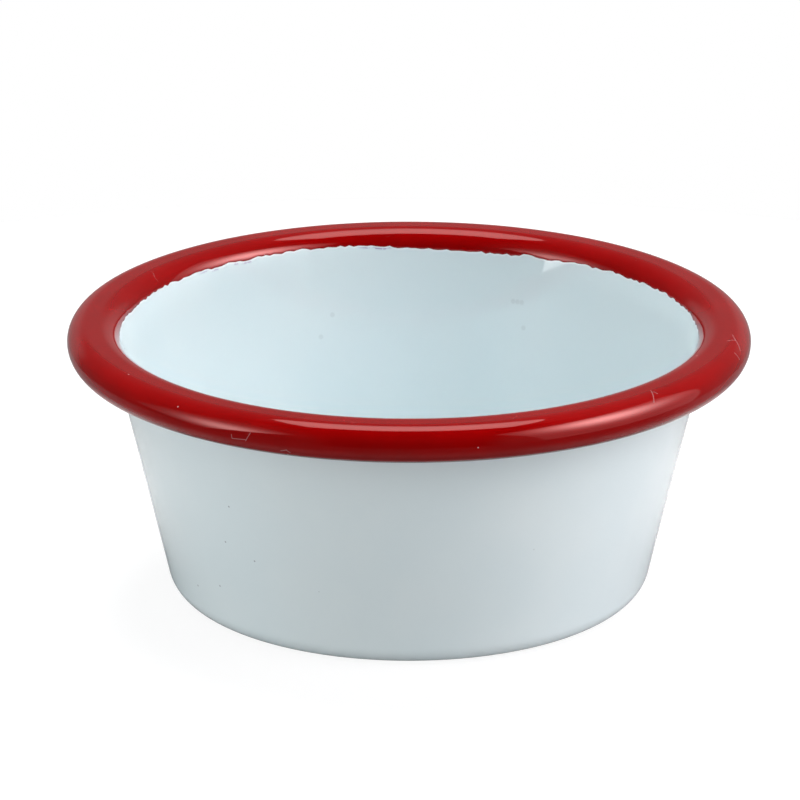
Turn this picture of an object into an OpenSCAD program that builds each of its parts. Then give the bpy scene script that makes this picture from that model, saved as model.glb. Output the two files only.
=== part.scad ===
// Enamelled steel ramekin with a rolled rim.
// A drawn steel cup carries a dark ground coat on both faces, also inside the roll, white enamel
// inside and outside, and a thicker red enamel over the rim. Each layer offsets one profile.
// The frame has +Z up and its origin on the table, under the middle of the base.

/* [Overall] */
// Diameter across the rolled rim
rim_d = 80; // [64:1:120]
// Height from the table to the top of the rim
height = 32.8; // [26:0.2:50]
// Lean of the wall from upright, in degrees
wall_lean = 12.8; // [4:0.2:20]

/* [Rolled rim] */
// Thickness of the rolled bead, enamel included
bead_d = 4.4; // [4:0.1:7]
// Radius of the lip between the wall and the flat top of the rim, enamel included
lip_r = 2.5; // [2:0.1:3.5]
// Slot left between the end of the roll and the outside of the wall
seam_gap = 0.65; // [0.3:0.05:1.2]
// Angle that the bead rolls on past the top of the rim
roll_turn = 260; // [200:5:270]
// Part of the lip's bend that stays white, below the red, in degrees
white_turn = 4; // [2:1:30]

/* [Base] */
// Outside radius between the wall and the base
corner_r = 3.2; // [2:0.2:7]
// Width of the flat ring that the dish stands on
foot_w = 4; // [2:0.5:8]
// Rise of the base panel inside that ring
panel_rise = 0.6; // [0.2:0.1:1.2]
// Radius of the two bends in the step up to the panel
step_r = 3; // [2:0.2:5]

/* [Steel and enamel] */
// Thickness of the steel sheet
steel_t = 0.5; // [0.4:0.05:0.8]
// Thickness of the dark ground coat on each face
ground_t = 0.1; // [0.06:0.01:0.2]
// Thickness of the white enamel on each face
white_t = 0.15; // [0.1:0.01:0.3]
// Thickness of the red enamel on the rim
red_t = 0.25; // [0.15:0.01:0.4]

/* [Hidden] */
$fn = 180;
// Largest angle between two neighbouring points on a bend
bend_step = 6;

// Offsets of the layers from the steel's inside face: positive is towards the food and the
// outside of the bead, negative is through the sheet to the outside of the dish.
inside_ground = ground_t;
inside_white = ground_t + white_t;
rim_red = ground_t + red_t;
outside_steel = -steel_t;
outside_ground = -(steel_t + ground_t);
outside_white = -(steel_t + ground_t + white_t);

// Rolled rim: the bead closes to seam_gap from the wall, which sets the width of the flat top.
bead_r = bead_d / 2;
bead_centre = [rim_d / 2 - bead_r, height - bead_r];
top_w = (seam_gap + rim_red - outside_white - (lip_r - bead_r) * (1 - sin(wall_lean)))
    / cos(wall_lean);
lip_centre = [bead_centre[0] - top_w, height - lip_r];
bead_face_r = bead_r - rim_red;
lip_face_r = lip_r - rim_red;

// Directions that the steel's inside face looks in, in degrees from outwards.
face_up = 90;
face_wall = 180 - wall_lean;
face_roll_end = face_up - roll_turn;
face_red_edge = face_wall - white_turn;

// Base: the white enamel under the foot ring stands on the table.
foot_z = -outside_white;
panel_z = foot_z + panel_rise;
corner_face_r = corner_r + outside_white;
corner_z = foot_z + corner_face_r;
corner_x = lip_centre[0]
    - (lip_face_r + corner_face_r - sin(wall_lean) * (corner_z - lip_centre[1])) / cos(wall_lean);
corner_centre = [corner_x, corner_z];
foot_inner_r = corner_x - foot_w;
step_turn = acos(1 - panel_rise / (2 * step_r));
panel_r = foot_inner_r - 2 * step_r * sin(step_turn);

function unit(angle) = [cos(angle), sin(angle)];

// Stations round a bend of the sheet: each is a point of the steel's inside face and the
// direction that the face looks in. A hump bulges towards the food, a hollow curves round it.
function bend(centre, r, from, to) =
    let (count = ceil(abs(to - from) / bend_step))
    [for (i = [0 : count])
        let (angle = from + (to - from) * i / count)
        [centre + r * unit(angle), angle]];
function hump(centre, r, from, to) = bend(centre, r, from, to);
function hollow(centre, r, from, to) = bend(centre, -r, from, to);

function without_first(stations) = [for (i = [1 : len(stations) - 1]) stations[i]];
function reversed(list) = [for (i = [len(list) - 1 : -1 : 0]) list[i]];
function offset_line(stations, distance) = [for (s = stations) s[0] + distance * unit(s[1])];

// Base panel, step, foot ring and corner, from the axis out to the foot of the wall.
step_top = hump([panel_r, panel_z - step_r], step_r, face_up, face_up - step_turn);
step_foot = hollow([foot_inner_r, foot_z + step_r], step_r, face_up - step_turn, face_up);
corner = hollow(corner_centre, corner_face_r, face_up, face_wall);
base_face = concat([[[0, panel_z], face_up]], step_top, without_first(step_foot), corner);

// Lip above the wall, white below the red edge and red above it, then the bead across the flat top.
lip_white = hump(lip_centre, lip_face_r, face_wall, face_red_edge);
lip_red = hump(lip_centre, lip_face_r, face_red_edge, face_up);
bead = hump(bead_centre, bead_face_r, face_up, face_roll_end);

cup_face = concat(base_face, [lip_white[0]]);
white_face = concat(base_face, lip_white);
red_face = concat(lip_red, bead);
whole_face = concat(white_face, without_first(red_face));

// One layer, turned round the axis: what lies between two offsets of a run of the face.
module layer(stations, from, to)
    rotate_extrude()
        polygon(concat(offset_line(stations, from), reversed(offset_line(stations, to))));

module steel_shell()
    color("lightslategray") layer(whole_face, outside_steel, 0);

module ground_coat_inside()
    color("midnightblue") layer(whole_face, 0, inside_ground);

module ground_coat_outside()
    color("midnightblue") layer(whole_face, outside_ground, outside_steel);

module white_enamel_inside()
    color("aliceblue") layer(white_face, inside_ground, inside_white);

module white_enamel_outside()
    color("aliceblue") layer(cup_face, outside_white, outside_ground);

module red_rim_enamel()
    color("firebrick") layer(red_face, inside_ground, rim_red);

steel_shell();
ground_coat_inside();
ground_coat_outside();
white_enamel_inside();
white_enamel_outside();
red_rim_enamel();
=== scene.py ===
"""Enamel ramekin: fired coats on a pressed steel dish, as turned meshes with glazes and a stage."""

import math
import random
from collections import namedtuple

import bmesh
import bpy
from bpy.props import FloatProperty, FloatVectorProperty, IntProperty, PointerProperty
from mathutils import Matrix, Quaternion, Vector, noise


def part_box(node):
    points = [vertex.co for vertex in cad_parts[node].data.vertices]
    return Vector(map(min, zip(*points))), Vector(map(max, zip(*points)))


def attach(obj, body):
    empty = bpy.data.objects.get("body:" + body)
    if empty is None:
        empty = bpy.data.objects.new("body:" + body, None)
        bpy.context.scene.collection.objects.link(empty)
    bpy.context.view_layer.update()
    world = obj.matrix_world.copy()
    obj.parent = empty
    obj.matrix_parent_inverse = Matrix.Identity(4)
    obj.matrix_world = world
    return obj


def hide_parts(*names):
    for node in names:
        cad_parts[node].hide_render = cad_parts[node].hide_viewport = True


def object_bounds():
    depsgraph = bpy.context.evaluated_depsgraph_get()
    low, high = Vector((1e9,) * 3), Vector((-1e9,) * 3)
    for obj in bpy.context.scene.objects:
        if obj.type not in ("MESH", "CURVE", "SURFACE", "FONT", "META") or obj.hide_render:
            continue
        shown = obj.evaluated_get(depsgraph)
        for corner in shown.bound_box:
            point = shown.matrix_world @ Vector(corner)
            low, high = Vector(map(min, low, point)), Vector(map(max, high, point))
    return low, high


bl_info = {
    "name": "Enamel Ramekin",
    "version": (1, 0, 0),
    "blender": (4, 5, 0),
    "location": "View3D > Sidebar > Ramekin",
    "description": "Dresses a packed steel dish in its fired enamel coats",
    "category": "Add Mesh",
}

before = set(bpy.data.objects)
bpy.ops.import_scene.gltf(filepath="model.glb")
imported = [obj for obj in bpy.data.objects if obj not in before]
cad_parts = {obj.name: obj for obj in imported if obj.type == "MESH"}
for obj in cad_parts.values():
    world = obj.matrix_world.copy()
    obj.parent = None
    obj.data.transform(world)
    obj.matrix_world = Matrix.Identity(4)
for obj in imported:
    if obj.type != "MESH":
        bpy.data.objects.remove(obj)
cad_low, cad_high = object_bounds()

MM = 0.001
UP = math.pi / 2
IMAGE_SIDE = 800
SENSOR_WIDTH_MM = 36

# Fineness of the turned meshes.
BEND_STEP = math.radians(3)
WALL_STEP = 1.5 * MM
TOP_STEP = 0.3 * MM
FLOOR_STEP = 2 * MM
AROUND = 320
AROUND_HIDDEN = 160
AROUND_EDGE = 8 * AROUND
SHARP_ANGLE = math.radians(40)

# The red laps over the white by more than its edge wanders, up to these lip angles.
WHITE_LAP_END = math.radians(49)
RED_LAP_END = math.radians(50)
# Under its edge and its lap, the red dips this far into the white.
RED_LAP_SINK = 0.03 * MM
# Rings of both coats on the way to the end of the lap.
LAP_CLIMBS = (0.15, 0.3, 0.45, 0.6, 0.75, 0.9)

# Ripple of the sheet: waves to a metre of its slow and its quick part, the quick part's share and
# shift, and the height at which it starts and over which it grows.
SLOW_RIPPLE = 45
QUICK_RIPPLE = 130
QUICK_SHARE = 0.35
QUICK_SHIFT = Vector((3, 5, 7))
RIPPLE_START = 1.5 * MM
RIPPLE_GROWTH = 5 * MM


class RamekinSizes(bpy.types.PropertyGroup):
    """Shape of the pressed dish, and how far its hand-made coats wander."""

    wall_lean: FloatProperty(
        name="Wall lean",
        description="Lean of the wall from upright",
        default=math.radians(12.8),
        subtype="ANGLE",
    )
    lip_radius: FloatProperty(
        name="Lip radius",
        description="Radius between the wall and the flat top of the rim",
        default=2.5 * MM,
        unit="LENGTH",
    )
    seam_gap: FloatProperty(
        name="Seam gap",
        description="Slot between the end of the roll and the wall",
        default=0.65 * MM,
        unit="LENGTH",
    )
    roll_turn: FloatProperty(
        name="Roll turn",
        description="Angle that the bead rolls on past the top of the rim",
        default=math.radians(260),
        subtype="ANGLE",
    )
    corner_radius: FloatProperty(
        name="Corner radius",
        description="Outside radius between the wall and the base",
        default=3.2 * MM,
        unit="LENGTH",
    )
    foot_width: FloatProperty(
        name="Foot width",
        description="Width of the flat ring that the dish stands on",
        default=4 * MM,
        unit="LENGTH",
    )
    panel_rise: FloatProperty(
        name="Panel rise",
        description="Rise of the base panel inside the foot ring",
        default=0.6 * MM,
        unit="LENGTH",
    )
    step_radius: FloatProperty(
        name="Step radius",
        description="Radius of the bends in the step up to the panel",
        default=3 * MM,
        unit="LENGTH",
    )
    wall_bow: FloatProperty(
        name="Wall bow",
        description="Spring of the wall under the lip",
        default=0.076 * MM,
        unit="LENGTH",
    )
    red_depth: FloatProperty(
        name="Red depth",
        description="Mean distance of the red's inner edge below the top of the rim",
        default=1.8 * MM,
        unit="LENGTH",
    )
    edge_wave: FloatProperty(
        name="Edge wave",
        description="How far the red's inner edge rises and falls round the rim",
        default=0.08 * MM,
        unit="LENGTH",
    )
    edge_lap: FloatProperty(
        name="Edge lap",
        description="Jump of that edge where the brush stroke ended",
        default=0.35 * MM,
        unit="LENGTH",
    )
    edge_drift: FloatProperty(
        name="Edge drift",
        description="Unevenness of that edge over a few millimetres, from the brush",
        default=0.1 * MM,
        unit="LENGTH",
    )
    edge_teeth: FloatProperty(
        name="Edge teeth",
        description="Raggedness of that edge over less than a millimetre",
        default=0.13 * MM,
        unit="LENGTH",
    )
    ripple: FloatProperty(
        name="Ripple",
        description="Unevenness of the pressed sheet under the glaze",
        default=0.02 * MM,
        unit="LENGTH",
    )
    seed: IntProperty(
        name="Seed",
        description="Start of the random draws for the ragged edge",
        default=11,
    )


class RamekinColours(bpy.types.PropertyGroup):
    """Colours of the coats and the steel."""

    white: FloatVectorProperty(
        name="White", description="White enamel", default=(0.637, 0.72, 0.741), subtype="COLOR"
    )
    white_cool: FloatVectorProperty(
        name="Cool white",
        description="White enamel where it is thin",
        default=(0.612, 0.703, 0.729),
        subtype="COLOR",
    )
    red: FloatVectorProperty(
        name="Red", description="Rim enamel", default=(0.22, 0.0005, 0.0008), subtype="COLOR"
    )
    red_deep: FloatVectorProperty(
        name="Deep red",
        description="Rim enamel where it lies thick",
        default=(0.195, 0.0003, 0.0005),
        subtype="COLOR",
    )
    red_shine: FloatVectorProperty(
        name="Red shine",
        description="Tint of what the rim enamel mirrors",
        default=(1.0, 0.5, 0.48),
        subtype="COLOR",
    )
    red_thin: FloatVectorProperty(
        name="Thin red",
        description="Rim enamel at its ragged edge, with the white behind it",
        default=(0.55, 0.12, 0.17),
        subtype="COLOR",
    )
    white_edge: FloatVectorProperty(
        name="White edge",
        description="White enamel along the ragged edge, where it was wiped",
        default=(0.78, 0.82, 0.83),
        subtype="COLOR",
    )
    violet: FloatVectorProperty(
        name="Violet",
        description="Streaks on the white under the ragged edge",
        default=(0.3, 0.24, 0.42),
        subtype="COLOR",
    )
    ground: FloatVectorProperty(
        name="Ground coat",
        description="Dark coat under the colours",
        default=(0.012, 0.015, 0.03),
        subtype="COLOR",
    )
    steel: FloatVectorProperty(
        name="Steel", description="Bare pressed sheet", default=(0.33, 0.34, 0.36), subtype="COLOR"
    )


class RamekinStudio(bpy.types.PropertyGroup):
    """Camera and light."""

    distance: FloatProperty(
        name="Distance",
        description="Camera to the middle of the rim",
        default=0.64,
        unit="LENGTH",
    )
    elevation: FloatProperty(
        name="Elevation",
        description="Height of the view above level",
        default=math.radians(18.35),
        subtype="ANGLE",
    )
    rim_scale: FloatProperty(
        name="Rim scale",
        description="Pixels that the rim's radius takes in the frame",
        default=341.5,
    )
    rim_pixel: FloatVectorProperty(
        name="Rim pixel",
        description="Where the middle of the rim falls in the frame, from its top left",
        default=(409.5, 335.5),
        size=2,
    )
    overhead_light: FloatProperty(
        name="Overhead light", description="Light of the softbox above on the dish", default=16.7
    )
    overhead_shine: FloatProperty(
        name="Overhead shine", description="Brightness of its image in the glaze", default=3.6
    )
    right_light: FloatProperty(
        name="Right light", description="Light of the right softbox's hot spot on the dish", default=5.8
    )
    right_shine: FloatProperty(
        name="Right shine", description="Brightness of its image in the glaze", default=12.0
    )
    left_light: FloatProperty(
        name="Left light", description="Light of the left softbox's hot spot on the dish", default=2.66
    )
    left_shine: FloatProperty(
        name="Left shine", description="Brightness of its image in the glaze", default=6.3
    )
    front_light: FloatProperty(
        name="Front light", description="Light of the broad fill over the camera", default=1.04
    )
    low_front_light: FloatProperty(
        name="Low front light", description="Light of the fill just above the table in front", default=7.0
    )
    low_right_light: FloatProperty(
        name="Low right light",
        description="Light of the fill just above the table on the right",
        default=13.4,
    )
    low_left_light: FloatProperty(
        name="Low left light",
        description="Light of the fill just above the table on the left",
        default=12.8,
    )
    room: FloatProperty(
        name="Room", description="Brightness of the dark room behind the camera", default=0.015
    )
    left_wall: FloatProperty(
        name="Left wall", description="Brightness of the wall on the left", default=0.1
    )
    right_wall: FloatProperty(
        name="Right wall", description="Brightness of the wall on the right", default=0.2
    )
    backdrop: FloatProperty(
        name="Backdrop", description="Brightness of the backdrop behind the dish", default=0.3
    )
    table: FloatVectorProperty(
        name="Table", description="Colour of the table", default=(0.17, 0.172, 0.175), subtype="COLOR"
    )
    # Painted light: a paler pool of table round the foot, for the dish to mirror and take bounce from.
    table_light_pool: FloatVectorProperty(
        name="Near table",
        description="Colour of the table round the foot",
        default=(0.45, 0.45, 0.45),
        subtype="COLOR",
    )
    # Painted light: a paler ring of table right at the foot, brightening the dish's bottom corner.
    table_foot_light_pool: FloatVectorProperty(
        name="Table at the foot",
        description="Colour of the table right at the foot",
        default=(0.5, 0.5, 0.5),
        subtype="COLOR",
    )
    table_lift: FloatProperty(
        name="Table lift",
        description="Light that the camera sees added to the table, up to white",
        default=0.88,
    )


Station = namedtuple("Station", "r z facing")
Packed = namedtuple("Packed", "rim_radius height bead_radius steel ground white red")


def packed_sizes():
    """Sizes of the sheet and its coats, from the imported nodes' boxes."""
    red_low, red_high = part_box("red_rim_enamel")
    steel_low, steel_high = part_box("steel_shell")
    ground_low, ground_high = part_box("ground_coat_inside")
    ground = ground_high.z - steel_high.z
    return Packed(
        rim_radius=red_high.x,
        height=red_high.z,
        bead_radius=(red_high.z - red_low.z) / 2,
        steel=ground_low.z - steel_low.z,
        ground=ground,
        white=steel_low.z - ground,
        red=red_high.z - ground_high.z,
    )


def bend(centre, radius, start, end):
    """Stations round a bend of the sheet. A negative radius curves round the food side."""
    count = max(1, math.ceil(abs(end - start) / BEND_STEP))
    stations = []
    for i in range(count + 1):
        facing = start + (end - start) * i / count
        r = centre[0] + radius * math.cos(facing)
        z = centre[1] + radius * math.sin(facing)
        stations.append(Station(r, z, facing))
    return stations


def straight(start, end, step):
    """Stations between two others on a flat run of the sheet, without the two."""
    length = math.hypot(end.r - start.r, end.z - start.z)
    count = max(1, round(length / step))
    stations = []
    for i in range(1, count):
        t = i / count
        r = start.r + (end.r - start.r) * t
        z = start.z + (end.z - start.z) * t
        stations.append(Station(r, z, start.facing))
    return stations


class CupProfile:
    """Profile of the steel's inside face, from the axis over the wall and the lip to the roll's end."""

    # How far below the lip the wall's bow is deepest, and where it dies away above the corner.
    BOW_DROP = 5 * MM
    BOW_FOOT = 6 * MM
    BOW_FADE = 18 * MM

    def __init__(self, sizes):
        self.packed = packed = packed_sizes()
        lean = sizes.wall_lean
        self.rim_red = packed.ground + packed.red
        self.inside_white = packed.ground + packed.white
        self.outside_ground = -(packed.steel + packed.ground)
        self.outside_white = self.outside_ground - packed.white
        bead_r = packed.bead_radius
        bead_centre = (packed.rim_radius - bead_r, packed.height - bead_r)
        self.lip_r = sizes.lip_radius
        roll_reach = sizes.seam_gap + self.rim_red - self.outside_white
        top_width = (roll_reach - (self.lip_r - bead_r) * (1 - math.sin(lean))) / math.cos(lean)
        self.lip_centre = (bead_centre[0] - top_width, packed.height - self.lip_r)
        self.lip_face_r = self.lip_r - self.rim_red
        foot_z = -self.outside_white
        panel_z = foot_z + sizes.panel_rise
        corner_face_r = sizes.corner_radius - foot_z
        corner_z = sizes.corner_radius
        wall_reach = self.lip_face_r + corner_face_r - math.sin(lean) * (corner_z - self.lip_centre[1])
        corner_x = self.lip_centre[0] - wall_reach / math.cos(lean)
        foot_inner = corner_x - sizes.foot_width
        turn = math.acos(1 - sizes.panel_rise / (2 * sizes.step_radius))
        panel_r = foot_inner - 2 * sizes.step_radius * math.sin(turn)

        middle = Station(0, panel_z, UP)
        step_r = sizes.step_radius
        step_top = bend((panel_r, panel_z - step_r), step_r, UP, UP - turn)
        step_foot = bend((foot_inner, foot_z + step_r), -step_r, UP - turn, UP)[1:]
        corner = bend((corner_x, corner_z), -corner_face_r, UP, math.pi - lean)
        panel = [middle] + straight(middle, step_top[0], FLOOR_STEP)
        foot = straight(step_foot[-1], corner[0], FLOOR_STEP)
        self.lean = lean
        self.lip_start = self.lip_station(lean)
        self.wall_bow = sizes.wall_bow
        wall = [self.bowed(s) for s in straight(corner[-1], self.lip_start, WALL_STEP)]
        self.cup = panel + step_top + step_foot + foot + corner + wall
        bead = bend(bead_centre, bead_r - self.rim_red, UP, UP - sizes.roll_turn)
        self.roll = straight(self.lip_station(UP), bead[0], TOP_STEP) + bead

    def lip_station(self, angle):
        """Station on the lip at an angle above level."""
        r = self.lip_centre[0] - self.lip_face_r * math.cos(angle)
        z = self.lip_centre[1] + self.lip_face_r * math.sin(angle)
        return Station(r, z, math.pi - angle)

    def face_station(self, rise):
        """Station at a distance up the lip's skin from the top of the wall, or down the wall below 0."""
        if rise >= 0:
            return self.lip_station(self.lean + rise / self.lip_r)
        r = self.lip_start.r + rise * math.sin(self.lean)
        z = self.lip_start.z + rise * math.cos(self.lean)
        return self.bowed(Station(r, z, self.lip_start.facing))

    def bowed(self, station):
        """A station of the wall, moved out by the spring of the sheet under the rolled lip."""
        below = self.lip_start.z - station.z
        above = min(1, max(0, (station.z - self.BOW_FOOT) / self.BOW_FADE))
        bow = self.wall_bow * math.sin(UP * min(1, below / self.BOW_DROP)) * above
        return station._replace(r=station.r + bow)

    def rise_at(self, depth):
        """Distance up the lip's skin from the top of the wall to a depth below the top of the rim."""
        wall_depth = self.lip_r * (1 - math.sin(self.lean))
        if depth > wall_depth:
            return (wall_depth - depth) / math.cos(self.lean)
        return self.lip_r * (math.asin(1 - depth / self.lip_r) - self.lean)

    def lip(self, start, end):
        """Stations on the lip between two angles above level."""
        return bend(self.lip_centre, self.lip_face_r, math.pi - start, math.pi - end)

    def whole(self):
        """Every station, from the axis to the end of the roll."""
        return self.cup + self.lip(self.lean, UP) + self.roll


class RaggedEdge:
    """Inner edge of the red: a slow wave, the lap and drift of the brush, and fine teeth."""

    # Slow waves: how many go round the rim, their phase in degrees and their share of the edge wave.
    WAVES = ((1, -42, 0.6), (2, 64, 0.68), (3, -135, 1.0), (4, -55, 0.72))
    # The end of the brush stroke, and the turns over which the lap jumps there and dies away.
    LAP_AT = math.radians(94)
    LAP_JUMP = math.radians(0.7)
    LAP_FADE = math.radians(70)
    # Distance along the rim between the draws for the drift and for the teeth.
    DRIFT_SPACING = 2.6 * MM
    TEETH_SPACING = 0.55 * MM
    # Where the colours ran together under the edge: start and end in degrees, and strength.
    STREAKS = ((93, 101, 1.0), (123, 139, 0.7))
    STREAK_TAPER = math.radians(2)

    def __init__(self, sizes, profile):
        draw = random.Random(sizes.seed)
        round_rim = 2 * math.pi * profile.lip_start.r
        self.sizes = sizes
        self.profile = profile
        self.drift = [draw.uniform(-1, 1) for _ in range(round(round_rim / self.DRIFT_SPACING))]
        self.teeth = [draw.uniform(-1, 1) for _ in range(round(round_rim / self.TEETH_SPACING))]

    def depth(self, around):
        """Depth of the edge below the top of the rim, at an angle round the dish."""
        sizes = self.sizes
        depth = sizes.red_depth
        for order, phase, share in self.WAVES:
            depth += sizes.edge_wave * share * math.cos(order * around - math.radians(phase))
        behind = (self.LAP_AT - around) % (2 * math.pi)
        depth += sizes.edge_lap * min(behind / self.LAP_JUMP, max(0, 1 - behind / self.LAP_FADE))
        depth += sizes.edge_drift * cyclic(self.drift, around, smooth=True)
        depth += sizes.edge_teeth * cyclic(self.teeth, around, smooth=False)
        return depth

    def streak(self, around):
        """Strength of the streak under the edge, at an angle round the dish."""
        strength = 0
        for start, end, share in self.STREAKS:
            inside = min(around - math.radians(start), math.radians(end) - around)
            strength = max(strength, share * min(1, inside / self.STREAK_TAPER))
        return strength

    def ring(self, rise, offset, ripple=0, climb=0, lap_end=RED_LAP_END):
        """A fine ring of points at a distance up from the edge, or part of the way on to a lap's end."""
        profile = self.profile
        points = []
        last = (lap_end - profile.lean) * profile.lip_r
        for around in around_angles(AROUND_EDGE):
            start = profile.rise_at(self.depth(around)) + rise
            s = profile.face_station(start + climb * (last - start))
            r = s.r + offset * math.cos(s.facing)
            z = s.z + offset * math.sin(s.facing)
            points.append(turned_point(r, z, s.facing, around, ripple))
        return points


def cyclic(values, around, smooth):
    """Value at an angle round the dish between evenly spaced draws."""
    place = (around / (2 * math.pi) % 1) * len(values)
    i = int(place)
    t = place - i
    if smooth:
        t = t * t * (3 - 2 * t)
    low = values[i % len(values)]
    high = values[(i + 1) % len(values)]
    return low + (high - low) * t


def around_angles(count):
    """Evenly spaced angles round the dish."""
    return [2 * math.pi * i / count for i in range(count)]


def ripple_at(point, depth):
    """Unevenness of the sheet at a point, none where the dish meets the table."""
    clear = min(1, max(0, (point.z - RIPPLE_START) / RIPPLE_GROWTH))
    slow = noise.noise(point * SLOW_RIPPLE)
    quick = noise.noise(point * QUICK_RIPPLE + QUICK_SHIFT)
    return depth * clear * (slow + QUICK_SHARE * quick)


def turned_point(r, z, facing, around, ripple):
    """A point of a turned surface, moved along the way it faces by the ripple."""
    out = Vector((math.cos(around), math.sin(around), 0))
    point = out * r + Vector((0, 0, z))
    if ripple:
        direction = out * math.cos(facing) + Vector((0, 0, math.sin(facing)))
        point += direction * ripple_at(point, ripple)
    return point


def coat_rings(stations, offset, count, ripple=0):
    """Rings of points at an offset from a run of stations. A station on the axis gives one point."""
    rings = []
    for s in stations:
        z = s.z + offset * math.sin(s.facing)
        if s.r == 0:
            rings.append([Vector((0, 0, z))])
            continue
        r = s.r + offset * math.cos(s.facing)
        rings.append([turned_point(r, z, s.facing, a, ripple) for a in around_angles(count)])
    return rings


def bridge(first, second):
    """Faces between two rings of (first index, count). One count is a multiple of the other, or 1."""
    if first[1] < second[1]:
        return [face[::-1] for face in bridge(second, first)]
    fine, fine_count = first
    coarse, coarse_count = second
    share = fine_count // coarse_count
    faces = []
    if coarse_count == 1:
        for i in range(fine_count):
            faces.append([fine + i, fine + (i + 1) % fine_count, coarse])
        return faces
    for i in range(coarse_count):
        run = [fine + (i * share + k) % fine_count for k in range(share + 1)]
        faces.append(run + [coarse + (i + 1) % coarse_count, coarse + i])
    return faces


def turned_piece(name, rings, node, material):
    """A closed mesh from rings in order round its section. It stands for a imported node."""
    points = []
    spans = []
    for ring in rings:
        spans.append((len(points), len(ring)))
        points.extend(ring)
    pairs = list(zip(spans, spans[1:]))
    if spans[0][1] > 1:
        pairs.append((spans[-1], spans[0]))
    faces = [face for pair in pairs for face in bridge(*pair)]
    mesh = bpy.data.meshes.new(name)
    mesh.from_pydata(points, [], faces)
    shell = bmesh.new()
    shell.from_mesh(mesh)
    bmesh.ops.recalc_face_normals(shell, faces=shell.faces)
    open_edges = sum(1 for edge in shell.edges if not edge.is_manifold)
    shell.to_mesh(mesh)
    shell.free()
    if open_edges:
        raise RuntimeError(f"{name} isn't closed: {open_edges} open edges")
    mesh.shade_smooth()
    mesh.set_sharp_from_angle(angle=SHARP_ANGLE)
    mesh.materials.append(material)
    piece = bpy.data.objects.new(name, mesh)
    bpy.context.scene.collection.objects.link(piece)
    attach(piece, "root")
    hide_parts(node)
    return piece


def set_ring_values(piece, name, rings, values, rest):
    """Keeps one number a point on a mesh, for its material. Rings after the values get the rest."""
    numbers = []
    for i, ring in enumerate(rings):
        value = values[i] if i < len(values) else rest
        numbers += value if isinstance(value, list) else [value] * len(ring)
    attribute = piece.data.attributes.new(name, "FLOAT", "POINT")
    attribute.data.foreach_set("value", numbers)


def add_node(tree, kind, settings=None, inputs=None):
    """A node with its settings, and its inputs linked or given a value."""
    made = tree.nodes.new(kind)
    for name, value in (settings or {}).items():
        setattr(made, name, value)
    for name, value in (inputs or {}).items():
        if isinstance(value, bpy.types.NodeSocket):
            tree.links.new(value, made.inputs[name])
        else:
            made.inputs[name].default_value = value
    return made


def math_node(tree, operation, first, second=0.0, clamp=False):
    """Output of a Math node."""
    settings = {"operation": operation, "use_clamp": clamp}
    return add_node(tree, "ShaderNodeMath", settings, {0: first, 1: second}).outputs[0]


def vector_node(tree, operation, first, second):
    """A Vector Math node of two vectors."""
    return add_node(tree, "ShaderNodeVectorMath", {"operation": operation}, {0: first, 1: second})


def range_node(tree, value, low, high, to_low=0.0, to_high=1.0):
    """Output of a smooth, clamped Map Range node."""
    inputs = {"Value": value, "From Min": low, "From Max": high, "To Min": to_low, "To Max": to_high}
    return add_node(tree, "ShaderNodeMapRange", {"interpolation_type": "SMOOTHSTEP"}, inputs).outputs[0]


def scaled(tree, vector, factor):
    """A vector times a number."""
    inputs = {0: vector, "Scale": factor}
    return add_node(tree, "ShaderNodeVectorMath", {"operation": "SCALE"}, inputs).outputs["Vector"]


def noise_node(tree, place, scale, detail):
    """A Noise Texture node."""
    inputs = {"Vector": place, "Scale": scale, "Detail": detail}
    return add_node(tree, "ShaderNodeTexNoise", None, inputs)


def cells_node(tree, place, feature):
    """A Voronoi Texture node."""
    inputs = {"Vector": place, "Scale": 1.0}
    return add_node(tree, "ShaderNodeTexVoronoi", {"feature": feature}, inputs)


def at_strength(tree, mask, strength):
    """A mask made weaker, by a number or by another mask."""
    return math_node(tree, "MULTIPLY", mask, strength)


def point_value(tree, name):
    """A number that the mesh keeps at its points."""
    return add_node(tree, "ShaderNodeAttribute", {"attribute_name": name}).outputs["Fac"]


# Colour sockets of a Mix node. Its sockets for other kinds of data have the same names.
MIX_FIRST = 6
MIX_SECOND = 7
MIX_RESULT = 2


def mix_colours(tree, factor, first, second):
    """Colour between two, by a mask."""
    made = add_node(tree, "ShaderNodeMix", {"data_type": "RGBA"}, {0: factor})
    for socket, value in ((made.inputs[MIX_FIRST], first), (made.inputs[MIX_SECOND], second)):
        if isinstance(value, bpy.types.NodeSocket):
            tree.links.new(value, socket)
        else:
            socket.default_value = (*value, 1)
    return made.outputs[MIX_RESULT]


def new_group(name, inputs, outputs):
    """An empty shader group, with a vector socket for a tuple. Gives the tree, its input and output."""
    tree = bpy.data.node_groups.new(name, "ShaderNodeTree")
    for socket, value in inputs:
        kind = "NodeSocketVector" if isinstance(value, tuple) else "NodeSocketFloat"
        tree.interface.new_socket(socket, in_out="INPUT", socket_type=kind).default_value = value
    for socket in outputs:
        tree.interface.new_socket(socket, in_out="OUTPUT", socket_type="NodeSocketFloat")
    return tree, tree.nodes.new("NodeGroupInput"), tree.nodes.new("NodeGroupOutput")


def place_over_size(tree, size):
    """The place on the dish, in units of a size."""
    place = add_node(tree, "ShaderNodeTexCoord").outputs["Object"]
    per_size = math_node(tree, "DIVIDE", 1.0, size)
    return scaled(tree, place, per_size)


# Contrast of the mottle, as the range of its noise.
MOTTLE_FROM_TO = (0.3, 0.7)
# The peel's soft part is this much coarser.
PEEL_SOFT_SCALE = 0.3
# The least speck and the dark core of a speck, as shares of the radius.
SPECK_LEAST = 0.35
SPECK_CORE = 0.6
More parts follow.
